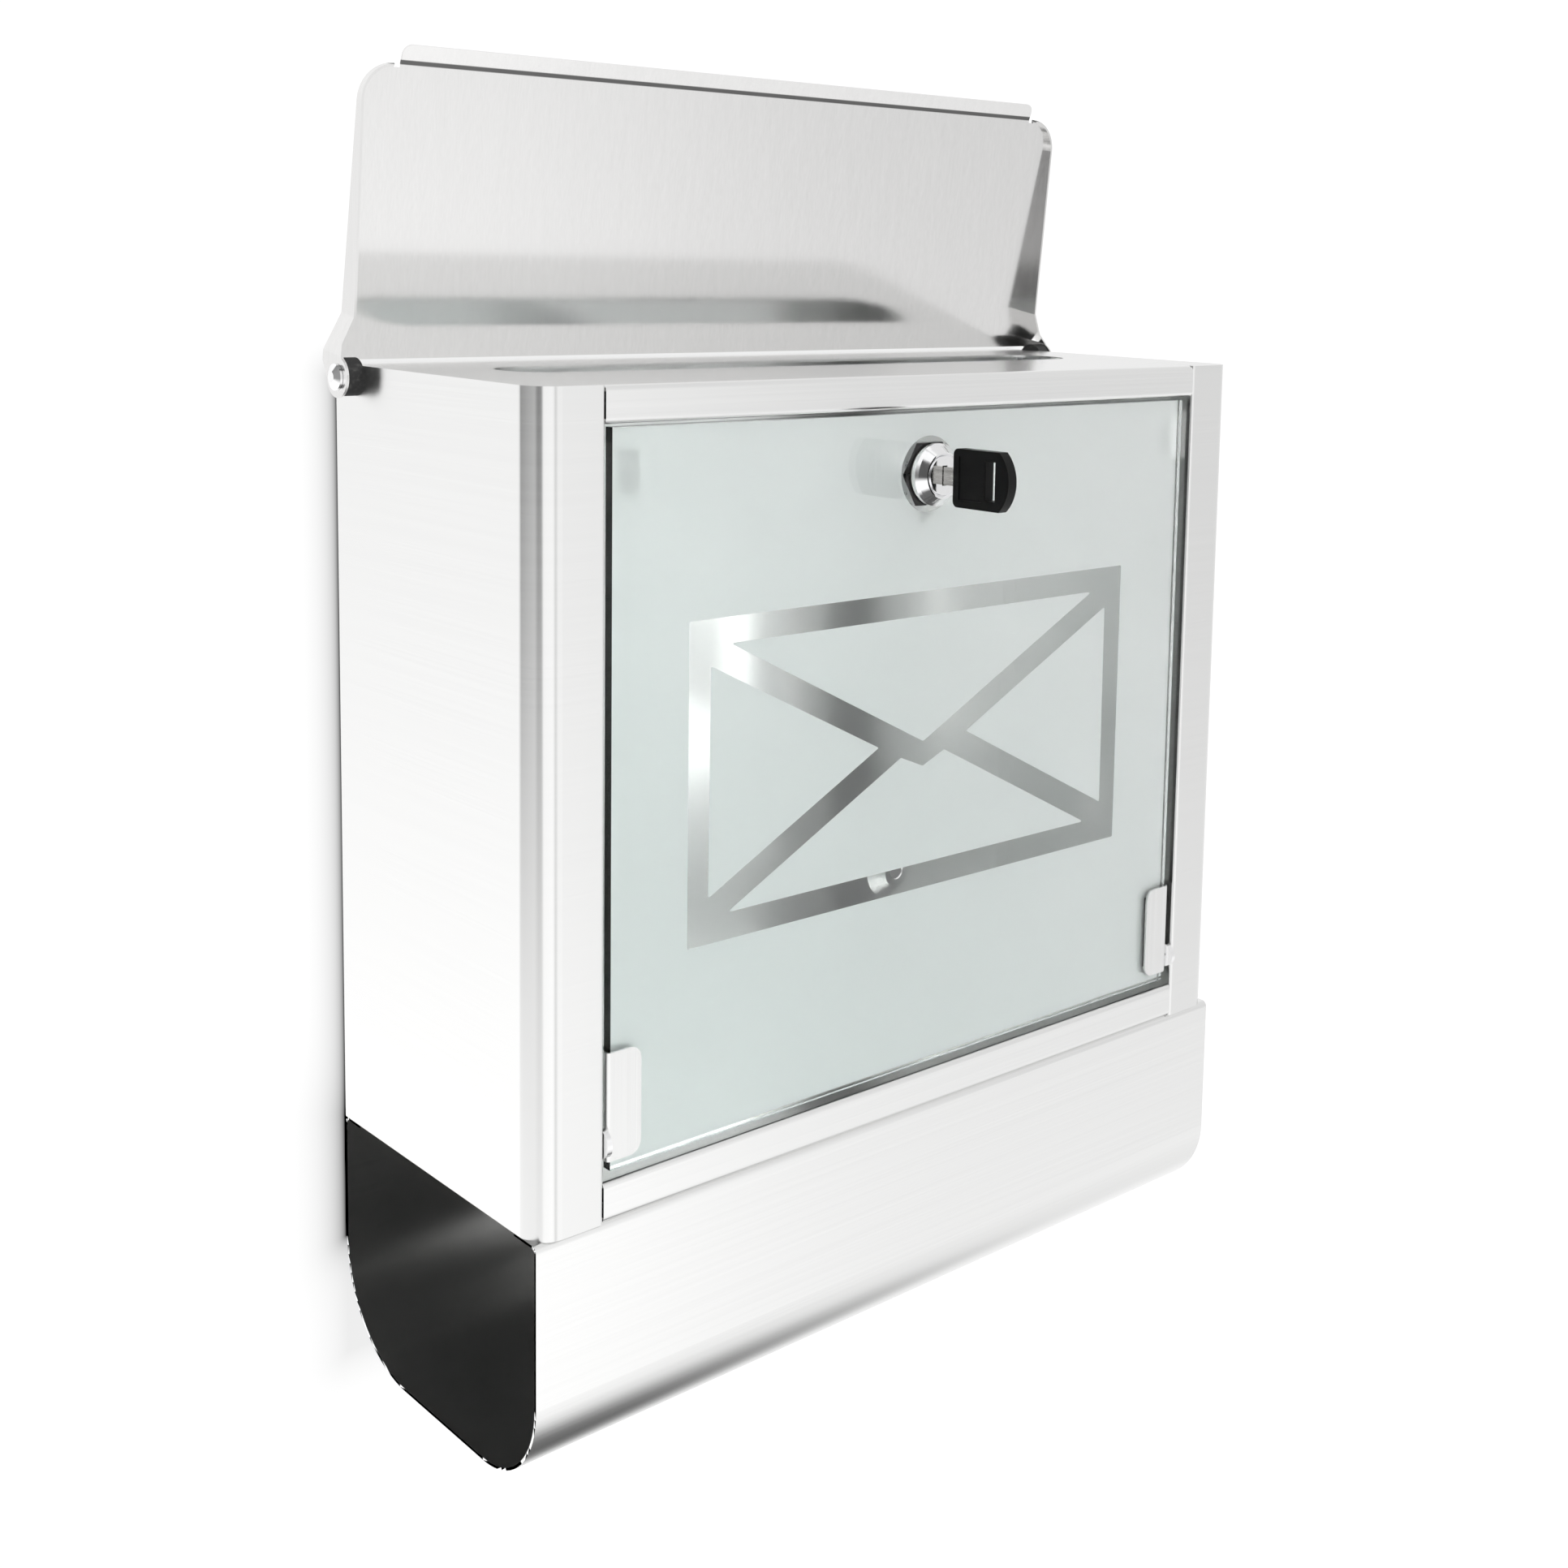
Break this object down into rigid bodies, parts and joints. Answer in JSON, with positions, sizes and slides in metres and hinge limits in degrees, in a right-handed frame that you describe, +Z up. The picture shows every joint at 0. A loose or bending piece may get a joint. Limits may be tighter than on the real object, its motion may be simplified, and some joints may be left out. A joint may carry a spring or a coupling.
{
  "type": "wall mounted mailbox",
  "caption": "Wall mounted letter box in folded steel with a frosted glass door, a keyed cam lock, a lid over the mail slot and an open newspaper trough below.",
  "frame": {"origin": "on the wall plane at the back of the box, level with the centre of the four wall fixing holes", "axes": "+Z up, the front faces -Y, the wall is the plane y = 0 and +Y goes into the wall; +X is to the right for someone facing the door"},
  "size_m": [0.3902, 0.177, 0.5107],
  "materials": {
    "brushed_steel": "satin stainless steel",
    "zinc_steel": "zinc plated steel",
    "bright_chrome": "polished chrome",
    "key_steel": "nickel plated brass",
    "black_rubber": "matt black rubber",
    "black_plastic": "satin black moulded plastic",
    "white_plastic": "pale nylon",
    "frosted_glass": "frosted glass with clear lines that draw an envelope"
  },
  "bodies": {
    "body": {"housing": "brushed_steel", "back_panel": "brushed_steel", "top_plate": "brushed_steel", "bottom_plate": "brushed_steel", "newspaper_holder": "brushed_steel", "holder_screws": "zinc_steel", "holder_nuts": "zinc_steel", "stop_tabs": "brushed_steel", "door_bumpers": "black_rubber", "lid_spacers": "black_rubber", "lid_screws": "bright_chrome", "lid_nuts": "zinc_steel"},
    "lid": {"lid": "brushed_steel"},
    "door": {"glass_door": "frosted_glass", "hinge_clip_left": "brushed_steel", "hinge_clip_right": "brushed_steel", "clip_pads": "black_rubber", "clip_screws": "zinc_steel", "hinge_pins": "zinc_steel", "hinge_washers": "bright_chrome", "lock_body": "bright_chrome", "lock_washer": "white_plastic", "lock_nut": "zinc_steel"},
    "lock_core": {"lock_plug": "bright_chrome", "lock_cam": "zinc_steel", "cam_screw": "zinc_steel"},
    "key": {"key_blade": "key_steel", "key_bow": "black_plastic"}
  },
  "joints": [
    {"name": "lid_hinge", "type": "hinge", "parent": "body", "child": "lid", "pos_m": [0, -0.015, 0.1455], "axis": [1, 0, 0], "range_deg": [-6, 82.5]},
    {"name": "door_hinge", "type": "hinge", "parent": "body", "child": "door", "pos_m": [0, -0.1339, -0.1194], "axis": [1, 0, 0], "range_deg": [0, 120]},
    {"name": "lock_turn", "type": "hinge", "parent": "door", "child": "lock_core", "pos_m": [0, -0.125, 0.1089], "axis": [0, 1, 0], "range_deg": [0, 90]},
    {"name": "key_slide", "type": "slide", "parent": "lock_core", "child": "key", "axis": [0, -1, 0], "range_m": [0, 0.03]}
  ]
}
